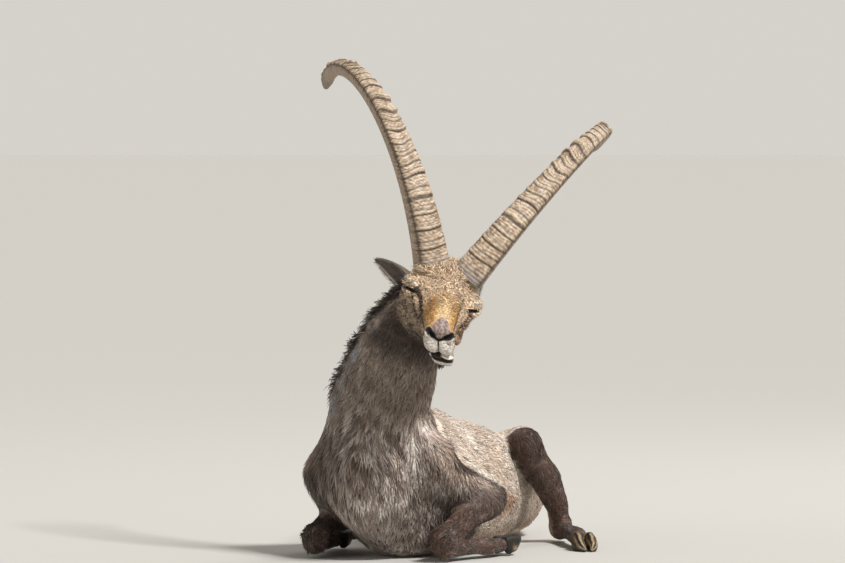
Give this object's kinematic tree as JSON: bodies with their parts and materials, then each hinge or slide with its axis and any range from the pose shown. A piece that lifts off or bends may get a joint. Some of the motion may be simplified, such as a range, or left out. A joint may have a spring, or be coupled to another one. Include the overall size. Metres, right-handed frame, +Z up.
{
  "type": "alpine ibex, resting adult male, still life-size model",
  "caption": "Life-size still model of an adult male alpine ibex lying at rest with its head up and turned, long knobbed horns curving back and a hind leg out to the side",
  "frame": {"origin": "on the floor under the brisket, in the flat face on which the chest rests", "axes": "+X forward along the trunk towards the chest, +Y to the animal's left, +Z up"},
  "size_m": [1.1558, 0.7121, 1.0154],
  "materials": {
    "coat_body": "short summer coat, pale pinkish tan on the flank and grey on the chest",
    "coat_neck": "short grey-brown coat with a dark mane ridge",
    "coat_head": "short curly tan coat, ochre along the nose, pale muzzle",
    "coat_leg": "short dark chocolate coat",
    "horn": "dry keratin with cross knobs and fine growth rings",
    "hoof": "worn dark horn with pale streaks",
    "eye": "wet and dark, nearly closed by the lids"
  },
  "bodies": {
    "root": {"torso": "coat_body", "neck": "coat_neck", "head": "coat_head", "jaw": "coat_head", "ear_left": "coat_head", "ear_right": "coat_head", "eye_left": "eye", "eye_right": "eye", "horn_left": "horn", "horn_right": "horn", "tail": "coat_leg", "foreleg_left_forearm": "coat_leg", "foreleg_left_cannon": "coat_leg", "foreleg_left_claw_outer": "hoof", "foreleg_left_claw_inner": "hoof", "foreleg_right_forearm": "coat_leg", "foreleg_right_cannon": "coat_leg", "foreleg_right_claw_outer": "hoof", "foreleg_right_claw_inner": "hoof", "hindleg_left_thigh": "coat_leg", "hindleg_left_gaskin": "coat_leg", "hindleg_left_cannon": "coat_leg", "hindleg_left_claw_outer": "hoof", "hindleg_left_claw_inner": "hoof", "hindleg_right_thigh": "coat_leg", "hindleg_right_gaskin": "coat_leg", "hindleg_right_cannon": "coat_leg", "hindleg_right_claw_outer": "hoof", "hindleg_right_claw_inner": "hoof"}
  },
  "joints": []
}
